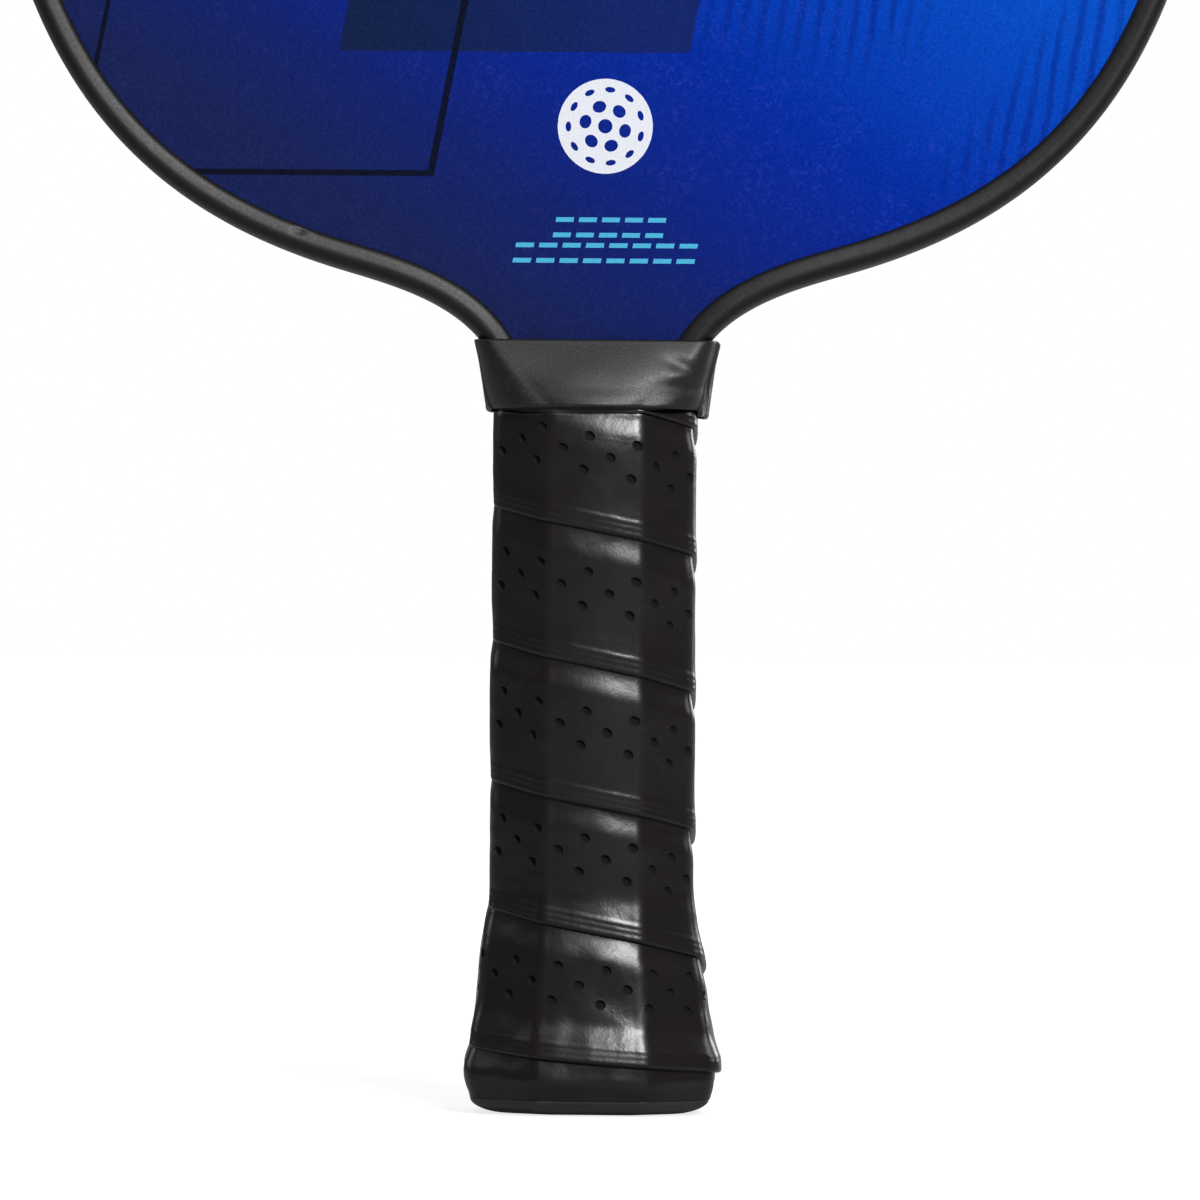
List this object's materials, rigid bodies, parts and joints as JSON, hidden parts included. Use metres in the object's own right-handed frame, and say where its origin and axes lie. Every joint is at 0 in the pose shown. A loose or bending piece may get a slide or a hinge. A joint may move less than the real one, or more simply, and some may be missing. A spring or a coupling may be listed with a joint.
{
  "type": "pickleball_paddle",
  "caption": "Pickleball paddle with blue graphic faces, a black edge guard, a rubber collar and a perforated, spirally wrapped cushion grip with a flared butt.",
  "frame": {"origin": "middle of the flat butt end, the lowest point of the paddle standing on its butt", "axes": "+Z from the butt end to the tip of the head; -Y is the outward normal of the front face; +X is to the right as the front face is seen"},
  "size_m": [0.2032, 0.0366, 0.387],
  "materials": {
    "core_plastic": "matte",
    "scrim_fleece": "matte",
    "adhesive": "satin",
    "fibreglass": "satin",
    "blue_graphic": "satin",
    "guard_rubber": "satin",
    "tape_backing": "matte",
    "pallet_foam": "matte",
    "cap_plastic": "satin",
    "staple_steel": "satin",
    "grip_foam": "matte",
    "grip_skin": "satin",
    "finishing_vinyl": "gloss",
    "collar_rubber": "matte"
  },
  "bodies": {
    "root": {"honeycomb_core": "core_plastic", "front_core_scrim": "scrim_fleece", "rear_core_scrim": "scrim_fleece", "front_adhesive_film": "adhesive", "rear_adhesive_film": "adhesive", "front_face_sheet": "fibreglass", "rear_face_sheet": "fibreglass", "front_graphic_film": "blue_graphic", "rear_graphic_film": "blue_graphic", "edge_guard": "guard_rubber", "edge_guard_tape": "tape_backing", "front_handle_pallet": "pallet_foam", "rear_handle_pallet": "pallet_foam", "front_pallet_tape": "tape_backing", "rear_pallet_tape": "tape_backing", "butt_cap": "cap_plastic", "cap_staple_front_left": "staple_steel", "cap_staple_front_right": "staple_steel", "cap_staple_rear_left": "staple_steel", "cap_staple_rear_right": "staple_steel", "grip_foam_backing": "grip_foam", "grip_skin": "grip_skin", "finishing_tape": "finishing_vinyl", "rubber_collar": "collar_rubber"}
  },
  "joints": []
}
